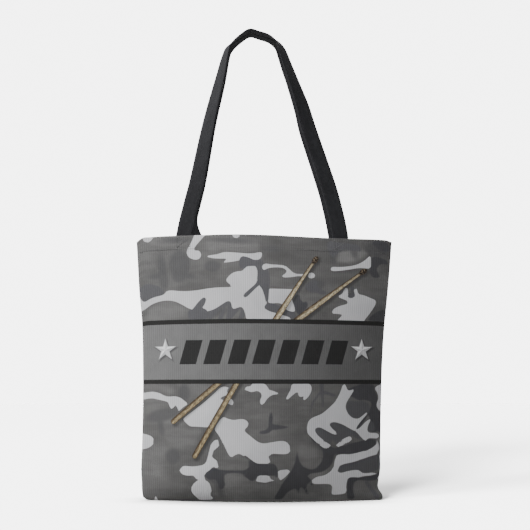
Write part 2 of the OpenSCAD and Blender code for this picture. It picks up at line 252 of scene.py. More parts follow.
# thin dark strokes: the two ends, and half the width at each
BRANCHES = [
    ((88, 181), (90, 146), 3.5, 1.5),
    ((85, 166), (74, 151), 1.5, 1.5),
    ((74, 151), (70, 136), 1.5, 1.0),
    ((94, 167), (108, 162), 2.5, 2.0),
    ((157, 31), (176, 4), 2.5, 3.5),
]
# brighter gaps between dark strokes, in the same form
GAPS = [
    ((-77, 277), (-64, 296), 4.0, 1.5),
    ((-61, 277), (-57, 299), 2.5, 1.5),
    ((-45, 277), (-37, 292), 5.0, 1.5),
]
# soft smudges of the brush: middle, half length, half width and angle
SMUDGES = [
    (-168, 349, 14, 4, 0), (-121, 349, 14, 4, -12), (-159, 354, 7, 28, 8), (-132, 364, 16, 24, 4),
    (-80, 361, 12, 9, 0), (-52, 402, 36, 4, -4), (-136, 405, 22, 4, 0), (125, 398, 22, 7, -4),
    (107, 384, 4, 12, 8), (141, 390, 6, 12, 20), (12, 389, 14, 4, 0), (178, 396, 20, 11, 0),
    (80, 333, 16, 9, 30), (-140, 69, 12, 11, 0), (-159, 113, 5, 11, 15), (-158, 132, 26, 9, 14),
    (-123, 166, 9, 13, 0), (-74, 40, 14, 10, -30), (-68, 22, 6, 12, 20), (-88, 286, 34, 6, 12),
]
# dark strokes that lie over the light patches
OVER = [
    [(-32, 316), (-31, 312), (-27, 312), (-19, 320), (-10, 329), (-6, 331), (-4, 340), (-10, 341),
     (-12, 334), (-21, 326), (-28, 320)],
    [(-117, 279), (-117, 292), (-111, 294), (-105, 302), (-98, 310), (-92, 314), (-89, 310), (-91, 303),
     (-96, 296), (-90, 295), (-87, 291), (-87, 279)],
    [(-39, 369), (-37, 374), (-34, 377), (-28, 376), (-22, 374), (-16, 371), (-10, 370), (-5, 372),
     (-4, 362), (-12, 361), (-27, 361), (-30, 356), (-38, 358)],
    [(-4, 329), (-1, 322), (1, 314), (3, 304), (5, 303), (7, 309), (8, 327), (8, 334), (-2, 334)],
    [(0, 297), (3, 302), (10, 304), (18, 302), (26, 298), (34, 293), (42, 291), (48, 290), (48, 279),
     (44, 280), (37, 283), (28, 287), (16, 290), (7, 292), (2, 294)],
    [(130, 320), (136, 322), (134, 328), (135, 334), (140, 334), (140, 327), (142, 320), (141, 316),
     (135, 314), (130, 316)],
]
# soft paler areas of the wash
SOFT_LIGHT = [
    [(52, 88), (64, 90), (78, 84), (84, 74), (80, 66), (70, 62), (58, 66), (51, 76)],
    [(-190, 180), (-165, 180), (-142, 176), (-138, 166), (-150, 165), (-165, 172), (-190, 172)],
    [(-155, 124), (-140, 126), (-125, 122), (-115, 112), (-95, 112), (-100, 96), (-108, 82), (-125, 80),
     (-140, 84), (-150, 92), (-158, 108)],
    [(-92, 408), (-10, 405), (-6, 388), (-20, 384), (-60, 386), (-88, 384)],
    [(-176, 304), (-150, 309), (-135, 306), (-122, 298), (-120, 280), (-190, 277)],
    [(112, 372), (118, 390), (135, 396), (155, 394), (165, 388), (150, 377), (130, 371)],
]
FAR_OUTSIDE, NEARBY = -60.0, 12.0


def rounded(outline, cut=0.22, times=2):
    """Closed outline with its corners cut to soft curves."""
    p = np.array(outline, float)
    for _ in range(times):
        q = np.roll(p, -1, axis=0)
        p = np.stack([p * (1 - cut) + q * cut, p * cut + q * (1 - cut)], 1).reshape(-1, 2)
    return p


def inside_outlines(outlines, x, z):
    """Distance from each point to the nearest outline, positive inside one."""
    pts = np.stack([x.ravel(), z.ravel()], 1)
    best = np.full(len(pts), FAR_OUTSIDE)
    for outline in outlines:
        p = rounded(outline)
        q = np.roll(p, -1, axis=0)
        near = np.where(((pts >= p.min(0) - NEARBY) & (pts <= p.max(0) + NEARBY)).all(1))[0]
        if not len(near):
            continue
        a = pts[near]
        d2 = np.full(len(a), 1e9)
        inside = np.zeros(len(a), bool)
        for (px, pz), (qx, qz) in zip(p, q):
            ex, ez = qx - px, qz - pz
            t = np.clip(((a[:, 0] - px) * ex + (a[:, 1] - pz) * ez) / (ex * ex + ez * ez + 1e-9), 0, 1)
            d2 = np.minimum(d2, (a[:, 0] - px - t * ex) ** 2 + (a[:, 1] - pz - t * ez) ** 2)
            crosses = (pz > a[:, 1]) != (qz > a[:, 1])
            if crosses.any():
                at = px + (a[:, 1] - pz) / (ez if ez else 1e-9) * ex
                inside ^= crosses & (a[:, 0] < at)
        best[near] = np.maximum(best[near], np.where(inside, 1, -1) * np.sqrt(d2))
    return best.reshape(x.shape)


def inside_strokes(strokes, x, z):
    """Distance inside the nearest tapered stroke, negative outside it."""
    best = np.full(x.shape, FAR_OUTSIDE)
    for (ax, az), (bx, bz), first, last in strokes:
        ex, ez = bx - ax, bz - az
        t = np.clip(((x - ax) * ex + (z - az) * ez) / (ex * ex + ez * ez), 0, 1)
        best = np.maximum(best, first + (last - first) * t - np.hypot(x - ax - t * ex, z - az - t * ez))
    return best


def inside_smudges(smudges, x, z):
    """Rough distance inside the nearest ellipse, negative outside it."""
    best = np.full(x.shape, FAR_OUTSIDE)
    for cx, cz, length, width, angle in smudges:
        c, s = math.cos(math.radians(angle)), math.sin(math.radians(angle))
        u = ((x - cx) * c + (z - cz) * s) / length
        v = ((z - cz) * c - (x - cx) * s) / width
        best = np.maximum(best, (1 - np.hypot(u, v)) * min(length, width))
    return best


def print_marks(x, z):
    """How far inside each kind of printed mark every point is."""
    dark = np.maximum(inside_outlines(DARK, x, z), inside_strokes(BRANCHES, x, z))
    return {
        "light": inside_outlines(LIGHT, x, z),
        "dark": np.minimum(dark, -inside_strokes(GAPS, x, z)),
        "deep": inside_outlines(DEEP, x, z),
        "pale": inside_outlines(SOFT_LIGHT, x, z),
        "smudge": inside_smudges(SMUDGES, x, z),
        "over": inside_outlines(OVER, x, z),
    }


# ---- Meshes ----
def new_object(name, verts, faces, material=None, smooth=True, flip=False):
    """Object from points in millimetres; flip turns every face over."""
    mesh = bpy.data.meshes.new(name)
    points = [tuple(v) for v in np.asarray(verts) * 0.001]
    mesh.from_pydata(points, [], [f[::-1] for f in faces] if flip else faces)
    mesh.validate()
    mesh.update()
    obj = bpy.data.objects.new(name, mesh)
    bpy.context.scene.collection.objects.link(obj)
    if smooth:
        mesh.polygons.foreach_set("use_smooth", [True] * len(mesh.polygons))
    if material:
        mesh.materials.append(material)
    return obj


def add_attribute(obj, name, kind, values):
    data = obj.data.attributes.new(name, kind, "POINT").data
    data.foreach_set("vector" if kind == "FLOAT_VECTOR" else "value", np.asarray(values, np.float32).ravel())


def grid_normals(p):
    """Unit normals of a grid of points, for rows along the first axis."""
    n = np.cross(np.gradient(p, axis=1), np.gradient(p, axis=0))
    return n / np.maximum(np.linalg.norm(n, axis=2, keepdims=True), 1e-9)


def shell(outer, inner):
    """Points and faces of a closed skin between two grids of the same size."""
    rows, cols = outer.shape[:2]
    n = rows * cols
    at = np.arange(n).reshape(rows, cols)
    quad = np.stack([at[:-1, :-1], at[:-1, 1:], at[1:, 1:], at[1:, :-1]], -1).reshape(-1, 4)
    faces = quad.tolist() + (quad[:, ::-1] + n).tolist()
    ring = np.concatenate([at[0, :-1], at[:-1, -1], at[-1, :0:-1], at[:0:-1, 0]])
    nxt = np.roll(ring, -1)
    faces += np.stack([ring, ring + n, nxt + n, nxt], 1).tolist()
    return np.concatenate([outer.reshape(-1, 3), inner.reshape(-1, 3)]), faces


def tube_faces(rings, sides, first=0):
    """Faces of a closed tube through rings of points, which are numbered from first."""
    faces = []
    for start in range(first, first + (rings - 1) * sides, sides):
        for i in range(sides):
            a, b = start + i, start + (i + 1) % sides
            faces.append((a, b, b + sides, a + sides))
    last = first + (rings - 1) * sides
    return faces + [tuple(range(first, first + sides))[::-1], tuple(range(last, last + sides))]


# ---- Panels: one cloth each, from the bottom seam over the belly to the
# ---- mouth, and down inside as the hem
COLUMNS, BASE_ROWS, WALL_ROWS, FOLD_ROWS, HEM_ROWS = 132, 18, 112, 5, 7
BELLY_SHARE = 0.997                  # of the half width; the rest rolls into the side seam
# each step of that roll: gap to the edge, distance off the middle plane, and cloth used since the seam line
EDGE_ROLL = ((0.10, 0.80), (0.0, 0.45), (0.28, 0.14), (1.3, 0.07), (3.0, 0.07))
EDGE_CLOTH = np.array([0.4, 0.8, 1.3, 2.2, 3.6])


def panel_steps():
    """Kind, nominal height, offset inwards and print height of each row."""
    steps = [("seam", t, 0, -6 - t) for t in (5, 3.2, 1.6)]
    steps += [("base", 0, share, -4 * (1 - share)) for share in (0.0, 0.25, 0.5, 0.75)]
    for k in range(BASE_ROWS):
        z = BELLY_H * (1 - math.cos(math.radians(90 * k / BASE_ROWS)))
        steps.append(("wall", z, 0, z))
    top = BAG_H - FOLD_R
    for k in range(WALL_ROWS + 1):
        z = BELLY_H + (top - BELLY_H) * k / WALL_ROWS
        steps.append(("wall", z, 0, z))
    for k in range(1, FOLD_ROWS + 1):
        a = math.pi * k / FOLD_ROWS
        steps.append(("fold", top + math.sin(a) * FOLD_R, FOLD_R * (1 - math.cos(a)), BAG_H + k * 0.6))
    for k in range(1, HEM_ROWS + 1):
        drop = (HEM_H - FOLD_R) * k / HEM_ROWS
        steps.append(("fold", top - drop, 2 * FOLD_R, BAG_H + 3 + drop))
    return steps


def panel_row(kind, z, inward, share):
    """Points of one row, with the sides rolled into the seam allowance."""
    hw = float(half_w(z))
    x = hw * share
    bulge = float(full_depth(z) * fill_share(z)) * (1 - share**2) + SEAM_HALF
    if kind == "seam":
        y, zz = np.full_like(x, 0.5), np.full_like(x, z)
    elif kind == "base":
        y = BASE_Y + (np.maximum(bulge, BASE_Y) - BASE_Y) * inward
        zz = np.full_like(x, BASE_LIFT * (1 - inward))
    else:
        y, zz = np.maximum(bulge - inward, LOWEST_Y), drooped(z, share)
    edge_z = zz[-1] if kind in ("seam", "base") else drooped(z, 1.0)
    edge = [(hw - gap, min(off, y[-1] + 0.01), edge_z) for gap, off in EDGE_ROLL]
    return np.array([(-a, b, c) for a, b, c in edge[::-1]] + list(zip(x, y, zz)) + edge)


def folded_back(print_z):
    """Nominal height of a print height, which runs on past the mouth into the hem."""
    return np.minimum(print_z, 2 * BAG_H - print_z)


def panel_surface(side):
    """Outer points of a panel, and the place of each across and up the flat cloth."""
    share = np.linspace(-1, 1, COLUMNS + 1) * BELLY_SHARE
    steps = panel_steps()
    p = np.array([panel_row(kind, z, inward, share) for kind, z, inward, _ in steps])
    across = np.concatenate([-FLAT_HALF - EDGE_CLOTH[::-1], share * FLAT_HALF, FLAT_HALF + EDGE_CLOTH])
    u = np.tile(across, (len(steps), 1))
    print_z = np.repeat([[float(step[3])] for step in steps], len(across), axis=1)
    s = np.clip(u / FLAT_HALF, -1, 1)
    zn = folded_back(print_z)
    p[..., 0] += np.where(s > 0, right_swell(zn), -left_swell(zn)) * np.abs(s) ** 3
    p[..., 2] += mouth_lift(s) * np.clip(zn / BAG_H, 0, 1) ** 4
    # soft unevenness of the filled cloth, none at the seams
    calm = np.clip((1 - np.abs(s)) * 12, 0, 1) * np.clip(zn / 30, 0, 1)
    ripple = 0.9 * soft_noise(u, zn, 62, 3.1 + side) + 0.35 * soft_noise(u, zn, 24, 7.7 + side)
    p[..., 1] = (p[..., 1] + ripple * calm) * side
    return p, u, print_z


def build_panel(name, side, material):
    """The cloth of the front where side is -1 and of the back where it is 1, and its length."""
    p, u, print_z = panel_surface(side)
    thick = np.where(np.abs(u) > FLAT_HALF, SEAM_T, CLOTH_T)
    near = np.clip((FLAT_HALF - np.abs(u)) / 6, 0, 1)
    thinned = np.minimum(thick, SEAM_T + (CLOTH_T - SEAM_T) * near)
    thick = np.where(print_z > BAG_H + 2, thinned, thick)
    verts, faces = shell(p, p + side * grid_normals(p) * thick[..., None])
    obj = new_object(name, verts, faces, material, flip=side > 0)
    print_x = -side * p[..., 0]
    for label, across in (("print_mm", print_x), ("cloth_mm", u)):
        places = np.stack([across, print_z, 0 * u], -1).reshape(-1, 3)
        add_attribute(obj, label, "FLOAT_VECTOR", np.concatenate([places, places]))
    add_attribute(obj, "reverse", "FLOAT", np.repeat([0.0, 1.0], u.size))
    for label, depth in print_marks(print_x, folded_back(print_z)).items():
        add_attribute(obj, label, "FLOAT", np.concatenate([depth.ravel(), depth.ravel()]))
    middle = p[:, p.shape[1] // 2]
    return obj, float(np.linalg.norm(np.diff(middle, axis=0), axis=1).sum())


# ---- Materials ----
def operation(kind, turned=False):
    """A method that puts this output and its arguments into a math node, this one last where turned."""
    def method(self, *others):
        values = (*others, self) if turned else (self, *others)
        return self.graph.math(kind, *values)
    return method


class Socket:
    """A node's output with arithmetic, so that a pattern reads as a formula."""
    __add__ = operation("ADD")
    __radd__ = operation("ADD", turned=True)
    __sub__ = operation("SUBTRACT")
    __rsub__ = operation("SUBTRACT", turned=True)
    __mul__ = operation("MULTIPLY")
    __truediv__ = operation("DIVIDE")
    abs = operation("ABSOLUTE")
    sin = operation("SINE")
    cos = operation("COSINE")
    sqrt = operation("SQRT")
    round = operation("ROUND")
    sign = operation("SIGN")
    min = operation("MINIMUM")
    max = operation("MAXIMUM")

    def __init__(self, graph, socket):
        self.graph, self.socket = graph, socket

    def clamp(self, lo, hi):
        return self.max(lo).min(hi)


class Graph:
    """The nodes of one material or world."""

    def __init__(self, owner):
        owner.use_nodes = True
        self.nodes, self.links = owner.node_tree.nodes, owner.node_tree.links
        self.nodes.clear()

    def put(self, value, socket):
        if isinstance(value, Socket):
            self.links.new(value.socket, socket)
        else:
            socket.default_value = value

    def node(self, kind, inputs, out=0, **settings):
        """One output of a new node, from its settings and a dict of its inputs."""
        n = self.nodes.new(f"ShaderNode{kind}")
        for label, value in settings.items():
            setattr(n, label, value)
        for label, value in inputs.items():
            self.put(value, n.inputs[label])
        return Socket(self, n.outputs[out])

    def math(self, kind, *values):
        return self.node("Math", dict(enumerate(values)), operation=kind)

    def attribute(self, name, out="Fac"):
        return self.node("Attribute", {}, out, attribute_name=name)

    def split(self, vector):
        parts = self.node("SeparateXYZ", {0: vector}).socket.node
        return [Socket(self, part) for part in parts.outputs]

    def vector(self, x, y, z):
        return self.node("CombineXYZ", {0: x, 1: y, 2: z})

    def noise(self, vector, scale, detail=3.0, rough=0.55):
        inputs = {"Vector": vector, "Scale": scale, "Detail": detail, "Roughness": rough}
        return self.node("TexNoise", inputs, "Fac")

    def step(self, value, lo, hi):
        """0 on lo's side and 1 on hi's side, smooth between the two."""
        return self.node("MapRange", {"Value": value, "From Min": lo, "From Max": hi}, "Result",
                         interpolation_type="SMOOTHSTEP")

    def mix(self, factor, a, b):
        """Colour a where factor is 0, and b where it is 1."""
        first, second = ((*c, 1) if isinstance(c, tuple) else c for c in (a, b))
        return self.node("Mix", {"Factor": factor, 6: first, 7: second}, 2, data_type="RGBA")

    def scale(self, colour, factor):
        return self.node("VectorMath", {0: colour, "Scale": factor}, operation="SCALE")

    def bump(self, height, distance):
        return self.node("Bump", {"Strength": 0.8, "Distance": distance, "Height": height})

    def finish(self, shader, kind="Material"):
        out = self.nodes.new(f"ShaderNodeOutput{kind}")
        self.links.new(shader.socket, out.inputs[0])

    def finish_cloth(self, colour, rough, normal, sheen, specular):
        self.finish(self.node("BsdfPrincipled", {
            "Base Color": colour, "Roughness": rough, "Normal": normal, "Sheen Weight": sheen,
            "Sheen Roughness": 0.5, "Specular IOR Level": specular}))


def grey(v, warm=0.0):
    return (v * (1 + warm), v, v * (1 - warm))


STARS, STAR_R, STAR_INNER = ((-153.3, 232.5), (152.0, 232.7)), 18.0, 0.382
STICKS = (((161, 362), (-143, 119)), ((83.5, 380), (-108, 66)))      # tip and butt of each
STICK_R, STICK_TIP_R, STICK_BOW = 5.0, 2.5, 3.3
BEAD_AT, BEAD_HALF_L, BEAD_R = 7.0, 7.2, 4.2
BAND, BAND_EDGE = (180.0, 279.0), (6.5, 7.0)
BLOCK_Z, BLOCK_PITCH, BLOCK_HALF_W, BLOCK_HALF_H, BLOCK_LEAN = 228.5, 37.5, 13.0, 18.5, 0.28
ROW_HALF = 3.5 * BLOCK_PITCH
PRINT_BLUR = 0.4
RIB_PITCH, WEAVE_PITCH = 3.5, 1.15
BLACK_INK = (0.024, 0.024, 0.024)
# where the wash is painted brighter or darker, partly as the print's own tone and partly as painted light
# and shade: across from, to, up from, to, and by how much
TONE_AND_PAINTED_LIGHT = ((-20, 40, 345, 385, -0.24), (-40, -90, 145, 110, -0.15), (-100, -160, 365, 395, 0.20),
          (-120, -40, 80, 30, 0.30), (118, 130, 46, 36, -0.16))


def camouflage(g, x, z, here):
    """Soft washes first, brightened and darkened in places partly as the print's own tone and partly as
    painted light and shade, then the dark patches, then the crisp light ones and the dark strokes over them.
    """
    mark = {label: g.attribute(label) for label in ("light", "dark", "deep", "pale", "smudge", "over")}
    wash = g.noise(here, 14, 3)
    brush = g.noise(g.vector(x * 0.010, z * 0.045, 0.0), 1.6, 3)
    pale = g.step(mark["pale"], -5, 5)
    colour = g.mix(g.step(wash, 0.35, 0.65), grey(0.112, 0.012), grey(0.138, 0.014))
    colour = g.mix(pale * 0.8, colour, grey(0.166, 0.012))
    colour = g.scale(colour, 0.88 + g.step(brush, 0.36, 0.62) * 0.16)
    # painted light and shade over the print's tone: lighter along the left edge near the bottom, the pale
    # patches at the top right lighter, and the listed areas brighter or darker
    shade = 1 + g.step(x, -138, -166) * g.step(z, 95, 78) * g.step(z, 24, 44) * 0.40
    shade = shade + pale * g.step(z, 365, 375) * g.step(x, 90, 110) * 0.45
    for x0, x1, z0, z1, gain in TONE_AND_PAINTED_LIGHT:
        shade = shade + g.step(x, x0, x1) * g.step(z, z0, z1) * gain
    colour = g.scale(colour, shade)
    smudge = g.step(mark["smudge"] + (brush - 0.5) * 8, -3.2, 2.8)
    colour = g.mix(smudge * 0.68, colour, (0.080, 0.080, 0.083))
    dark = (0.096, 0.096, 0.103)
    colour = g.mix(g.step(mark["deep"], -1.4, 1.4) * 0.95, colour, (0.064, 0.064, 0.070))
    colour = g.mix(g.step(mark["dark"], -1.4, 1.4) * 0.9, colour, dark)
    light = g.mix(g.step(wash, 0.3, 0.7), (0.575, 0.575, 0.595), (0.645, 0.645, 0.66))
    light = g.scale(light, 1 - g.step(x.abs(), 130, 40) * 0.07 + g.step(z, 100, 60) * 0.08)
    colour = g.mix(g.step(mark["light"], -0.45, 0.45), colour, light)
    return g.mix(g.step(mark["over"], -0.5, 0.5), colour, dark)


def add_stick(g, colour, x, z, tip, butt):
    """A slightly bowed wooden stick with an oval bead at its tip, over a soft shadow."""
    length = math.dist(tip, butt)
    ux, uz = (butt[0] - tip[0]) / length, (butt[1] - tip[1]) / length

    def outside(px, pz):
        """Distance outside the stick and outside its bead, and place along and across it."""
        along = (px - tip[0]) * ux + (pz - tip[1]) * uz
        part = (along / length).clamp(0, 1)
        off = (pz - tip[1]) * ux - (px - tip[0]) * uz + part * (1 - part) * (4 * STICK_BOW)
        half = g.step(along, 8, 120) * (STICK_R - STICK_TIP_R) + STICK_TIP_R - part * 0.7
        near = along - along.clamp(9, length - STICK_R)
        shaft = (near * near + off * off).sqrt() - half
        da, do = (along - BEAD_AT) / BEAD_HALF_L, off / BEAD_R
        bead = ((da * da + do * do).sqrt() - 1) * BEAD_R
        return shaft.min(bead), bead, along, off, half, part

    shade = outside(x - 2.8, z + 3.0)[0]
    colour = g.scale(colour, 1 - g.step(shade, 3.4, -2.0) * 0.45)
    d, bead, along, off, half, part = outside(x, z)
    grain = g.step(g.noise(g.vector(along * 0.10, off * 0.34, 0.0), 1.6, 4, 0.75), 0.38, 0.62)
    blotch = g.step(g.noise(g.vector(along * 0.16, off * 0.22, 5.0), 1.6, 2), 0.46, 0.62)
    core = g.mix(g.step(part, 0.0, 0.9), (0.62, 0.54, 0.37), (0.33, 0.265, 0.15))
    core = g.mix(g.step(part, 0.22, 0.0) * 0.6, core, (0.20, 0.155, 0.10))
    rim = g.mix(part, (0.105, 0.075, 0.045), (0.060, 0.040, 0.024))
    wood = g.mix(g.step((off / half - 0.18).abs(), 0.10, 0.95), core, rim)
    wood = g.mix(blotch * 0.55, wood, g.mix(part, (0.27, 0.205, 0.13), (0.135, 0.095, 0.062)))
    wood = g.scale(wood, grain * 0.95 + 0.55)
    fleck = g.step(g.noise(g.vector(along * 0.5, off * 0.5, 0.0), 0.75, 1), 0.54, 0.62)
    wood = g.mix(g.step(bead, 0.5, -0.5), wood, g.mix(fleck, (0.030, 0.021, 0.015), (0.26, 0.20, 0.14)))
    wood = g.mix(g.step(d, -1.2, -0.1) * 0.8, wood, (0.036, 0.026, 0.015))
    return g.mix(g.step(d, 0.35, -0.35), colour, wood)


def add_band(g, colour, x, z, here):
    """A grey band, painted darker towards the right as shade, with a dark line along both edges, and a plain
    row of seven slanted blocks.
    """
    def between(lo, hi):
        return g.step(z, lo - PRINT_BLUR, lo + PRINT_BLUR) * g.step(z, hi + PRINT_BLUR, hi - PRINT_BLUR)

    fill = g.mix(g.step(g.noise(here, 40, 2), 0.3, 0.7), grey(0.138), grey(0.150))
    # painted shade: the band's grey is darkened towards the right
    fill = g.scale(fill, 1 - x * 0.0012)
    colour = g.mix(between(*BAND), colour, (0.022, 0.022, 0.021))
    colour = g.mix(between(BAND[0] + BAND_EDGE[0], BAND[1] - BAND_EDGE[1]), colour, fill)
    lean = x - (z - BLOCK_Z) * BLOCK_LEAN
    off = (lean - (lean / BLOCK_PITCH).round() * BLOCK_PITCH).abs()
    block = (off - BLOCK_HALF_W).max((z - BLOCK_Z).abs() - BLOCK_HALF_H)
    ink = g.step(block, PRINT_BLUR, -PRINT_BLUR) * g.step(lean.abs(), ROW_HALF, ROW_HALF - 1)
    return g.mix(ink, colour, BLACK_INK)


def add_star(g, colour, x, z, cx, cz):
    """A five-pointed star with bevelled facets, over a soft shadow."""
    fifth = math.pi * 0.4
    inner = (STAR_INNER * math.cos(fifth / 2), STAR_INNER * math.sin(fifth / 2))
    run = math.hypot(1 - inner[0], inner[1])

    def outside(px, pz):
        """Distance outside the star, its nearest point's angle, and the angle from there."""
        a, b = (px - cx) / STAR_R, (pz - cz) / STAR_R
        angle = g.math("ARCTAN2", a, b)
        turn = (angle / fifth).round() * fifth
        local = angle - turn
        r = (a * a + b * b).sqrt()
        edge = (r * local.cos() - 1) * (inner[1] / run) + r * local.sin().abs() * ((1 - inner[0]) / run)
        return edge * STAR_R, turn, local

    shade = outside(x - 2.0, z + 2.2)[0]
    colour = g.scale(colour, 1 - g.step(shade, 2.2, -1.2) * 0.5)
    edge, turn, local = outside(x, z)
    facet = (turn + local.sign() * fifth + 0.65).cos()
    silver = g.mix(g.step(facet, -1, 1), (0.48, 0.48, 0.49), (0.90, 0.90, 0.91))
    silver = g.mix(g.step(edge, -1.0, -0.1) * 0.6, silver, (0.30, 0.30, 0.31))
    return g.mix(g.step(edge, 0.35, -0.35), colour, silver)


def printed_cloth():
    """Printed on its face and plain on its reverse, with woven ribs that run up the cloth."""
    mat = bpy.data.materials.new("printed_cloth")
    g = Graph(mat)
    x, z, _ = g.split(g.attribute("print_mm", "Vector"))
    cu, cv, _ = g.split(g.attribute("cloth_mm", "Vector"))
    here = g.vector(x * 0.001, z * 0.001, 0.0)
    colour = camouflage(g, x, z, here)
    for tip, butt in STICKS:
        colour = add_stick(g, colour, x, z, tip, butt)
    colour = add_band(g, colour, x, z, here)
    for cx, cz in STARS:
        colour = add_star(g, colour, x, z, cx, cz)

    # ribs, slubs and a fine weave
    slub = g.noise(g.vector(cu * 0.9, cv * 0.02, 0.0), 1.6, 2)
    rib = (cu * (2 * math.pi / RIB_PITCH)).cos() * 0.5 + 0.5
    fine = (cu * (2 * math.pi / WEAVE_PITCH)).sin() * (cv * (2 * math.pi / WEAVE_PITCH)).sin()
    fuzz = g.noise(g.vector(cu * 0.5, cv * 0.5, 0.0), 9, 4, 0.7)
    colour = g.scale(colour, 0.90 + rib * 0.19 + (slub - 0.5) * 0.20 + fine * 0.04 + (fuzz - 0.5) * 0.16)

    # plain unprinted reverse, with the print just showing through
    plain = g.mix(g.step(g.noise(here, 30, 3), 0.3, 0.7), (0.62, 0.61, 0.59), (0.70, 0.69, 0.67))
    plain = g.scale(plain, 0.94 + rib * 0.05 + fine * 0.05)
    colour = g.mix(g.step(g.attribute("reverse"), 0.4, 0.6), colour, g.mix(0.14, plain, colour))
    height = rib * 0.55 + fine * 0.35 + slub * 0.5 + fuzz * 0.25
    g.finish_cloth(colour, 0.88 + (fuzz - 0.5) * 0.12, g.bump(height, 0.00028), sheen=0.08, specular=0.22)
    return mat


def webbing():
    mat = bpy.data.materials.new("webbing")
    g = Graph(mat)
    u, v, _ = g.split(g.attribute("weave_mm", "Vector"))
    ribs = (u * (2 * math.pi / 1.9)).cos()
    picks = (v * (2 * math.pi / 1.5) + (u * (math.pi / 1.9)).round() * math.pi).sin()
    fuzz = g.noise(g.vector(u * 0.4, v * 0.4, 0.0), 8, 4, 0.7)
    wear = g.noise(g.vector(u * 0.02, v * 0.006, 0.0), 5, 3)
    # painted highlight: the webbing is lighter along both of its edges
    edge = g.step(u.abs(), 9.5, 12.6)
    colour = g.mix(g.step(wear, 0.3, 0.75), (0.0105, 0.0105, 0.0130), (0.0180, 0.0180, 0.0215))
    colour = g.scale(colour, 0.92 + ribs * 0.10 + picks * 0.12 + (fuzz - 0.5) * 0.5 + edge * 0.25)
    height = ribs * 0.4 + picks * 0.35 + fuzz * 0.3
    g.finish_cloth(colour, 0.78 + (fuzz - 0.5) * 0.15, g.bump(height, 0.00030), sheen=0.12, specular=0.28)
    return mat


def thread(name, tone, pitch):
    mat = bpy.data.materials.new(name)
    g = Graph(mat)
    u, v, _ = g.split(g.attribute("strand_mm", "Vector"))
    ply = (u * (2 * math.pi / pitch) + v * 2.2).sin()
    fuzz = g.noise(g.vector(u * 0.7, v * 0.7, 0.0), 6, 3, 0.7)
    low, high = (tuple(c * k for c in tone) for k in (0.75, 1.3))
    colour = g.scale(g.mix(fuzz, low, high), 0.9 + ply * 0.14)
    height = ply * 0.6 + fuzz * 0.4
    g.finish_cloth(colour, 0.7 + (fuzz - 0.5) * 0.2, g.bump(height, 0.00012), sheen=0.15, specular=0.35)
    return mat


CLOTH = printed_cloth()
WEBBING = webbing()
THREAD = thread("sewing_thread", (0.13, 0.13, 0.13), 0.7)
OVERLOCK = thread("overlock_thread", (0.34, 0.34, 0.33), 0.8)

# ---- Handles ----
# Middle line: across, height above the ends, and the angle by which the
# webbing is turned out of the bag's plane
ROUTE = np.array([
    (-LEFT_END_X, 0, 9), (-122.4, 18, 10), (-114.4, 51, 12), (-105.6, 87, 18), (-87, 184, 41),
    (-70, 253.5, 54), (-59, 299.5, 70), (-52, 309, 79), (-38.5, 320, 86), (-23, HANDLE_RISE, 90),
    (-7.5, 325.2, 89), (9, 320.2, 85), (21, 312, 75), (28.3, 299.5, 62), (36.6, 276.5, 55),
    (45.1, 253.5, 51), (61, 207.5, 34), (70.3, 173, 20), (89.3, 115.5, 15),
    (104, 70, 12), (114.8, 27, 10), (RIGHT_END_X, 0, 9)], float)
CROWN_POINT = 9
ROUTE_AT = np.concatenate([[0], np.cumsum(np.linalg.norm(np.diff(ROUTE[:, :2], axis=0), axis=1))])
ROUTE_LEN = ROUTE_AT[-1]
CROWN_AT = ROUTE_AT[CROWN_POINT]
LOOP_Z = BAG_H + LOOP_GAP
LOOP_ROWS, END_ROWS, END_GAP = 190, 9, 1.2


def route(d):
    last = len(ROUTE) - 1
    k = int(np.clip(np.searchsorted(ROUTE_AT, d, side="right") - 1, 0, last - 1))

    def direction(i):
        a, b = max(i - 1, 0), min(i + 1, last)
        return (ROUTE[b] - ROUTE[a]) / (ROUTE_AT[b] - ROUTE_AT[a])
    h = ROUTE_AT[k + 1] - ROUTE_AT[k]
    t = (d - ROUTE_AT[k]) / h
    return ((2 * t**3 - 3 * t**2 + 1) * ROUTE[k] + (t**3 - 2 * t**2 + t) * h * direction(k)
            + (3 * t**2 - 2 * t**3) * ROUTE[k + 1] + (t**3 - t**2) * h * direction(k + 1))


def unit(v):
    return v / np.linalg.norm(v)


def end_depth(x):
    """Depth of the middle of the webbing where its end is sewn on at x."""
    return (float(full_depth(BAG_H)) - 1) * (1 - (x / (MOUTH_W / 2 - 1.2)) ** 2) - 0.15 - WEBBING_T / 2


def loop_row(d, insets):
    """Middle, width direction, thickness direction and place of the webbing at distance d."""
    x, rise, turn = route(d)
    run = unit((route(min(d + 1, ROUTE_LEN)) - route(max(d - 1, 0)))[:2])
    left = d < CROWN_AT
    reach = d / CROWN_AT if left else (ROUTE_LEN - d) / (ROUTE_LEN - CROWN_AT)
    square = min(min(d, ROUTE_LEN - d) / WEBBING_W, 1)
    away = unit(square * np.array([-run[1], 0, run[0]]) + (1 - square) * np.array([-1 if left else 1, 0, 0]))
    turn = math.radians(turn)
    width = math.cos(turn) * away + np.array([0, math.sin(turn), 0])
    shift, merge_h = (insets[0], MERGE_H[0]) if left else (-insets[1], MERGE_H[1])
    end_y = end_depth((-LEFT_END_X if left else RIGHT_END_X) + shift)
    x += shift * max(0, 1 - rise / merge_h) ** 1.5
    middle = np.array([x, -(end_y + (CROWN_Y - end_y) * reach), LOOP_Z + rise])
    return middle, width, unit(np.cross(width, np.array([run[0], 0, run[1]]))), d


